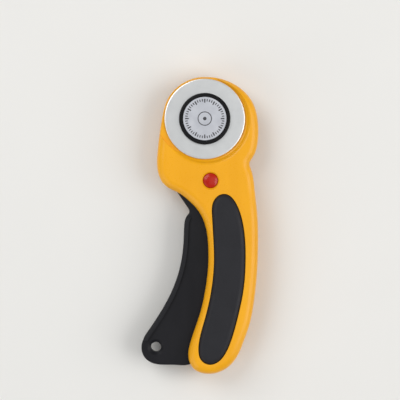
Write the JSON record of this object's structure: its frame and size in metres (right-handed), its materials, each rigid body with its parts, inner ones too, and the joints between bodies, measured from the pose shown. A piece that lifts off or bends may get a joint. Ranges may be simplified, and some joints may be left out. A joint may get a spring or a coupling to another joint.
{
  "type": "rotary cutter",
  "caption": "Handheld rotary cutter with a round steel blade behind a guard edge, a squeeze lever that swings the blade out, a push lock and soft grips.",
  "frame": {"origin": "below the middle of the cutter's outline, in the plane that the rear grip and the nut rest on", "axes": "+Z out of the blade's side, +Y from the handle's end to the blade, +X to the closed side of the body, away from the squeeze lever"},
  "size_m": [0.0659, 0.1669, 0.0212],
  "materials": {
    "body_plastic": "satin yellow-orange moulding",
    "grip_rubber": "matt black elastomer",
    "lever_plastic": "matt black moulding",
    "lever_rubber": "matt black elastomer",
    "plain_steel": "turned",
    "spring_steel": "drawn and hardened",
    "red_plastic": "satin red moulding",
    "blade_steel": "ground and polished",
    "black_plastic": "satin black moulding",
    "silver_label": "satin silver disc",
    "screw_steel": "zinc plated"
  },
  "bodies": {
    "body": {"front_shell": "body_plastic", "rear_shell": "body_plastic", "front_grip": "grip_rubber", "rear_grip": "grip_rubber", "pivot_pin": "plain_steel", "return_spring": "spring_steel", "shell_screw_1": "screw_steel", "shell_screw_2": "screw_steel", "shell_screw_3": "screw_steel", "shell_screw_4": "screw_steel", "shell_screw_5": "screw_steel"},
    "lever": {"squeeze_lever": "lever_plastic", "lever_grip": "lever_rubber", "blade_bolt": "plain_steel", "bolt_cap": "black_plastic", "bolt_label": "silver_label", "spring_washer": "spring_steel", "nut_knob": "black_plastic", "nut_insert": "plain_steel"},
    "blade": {"blade": "blade_steel"},
    "lock": {"lock_button": "red_plastic", "lock_button_rear": "red_plastic"}
  },
  "joints": [
    {"name": "lever_squeeze", "type": "hinge", "parent": "body", "child": "lever", "pos_m": [-0.015, 0.031, 0], "axis": [0, 0, 1], "range_deg": [0, 9.5], "stiffness_Nm_per_rad": 0.6, "springref_deg": -20.05, "deforming": ["return_spring"]},
    {"name": "blade_spin", "type": "hinge", "parent": "lever", "child": "blade", "pos_m": [0.00266, 0.05968, 0], "axis": [0, 0, 1], "continuous": true},
    {"name": "lock_slide", "type": "slide", "parent": "body", "child": "lock", "axis": [0, 0, -1], "range_m": [0, 0.003]}
  ]
}
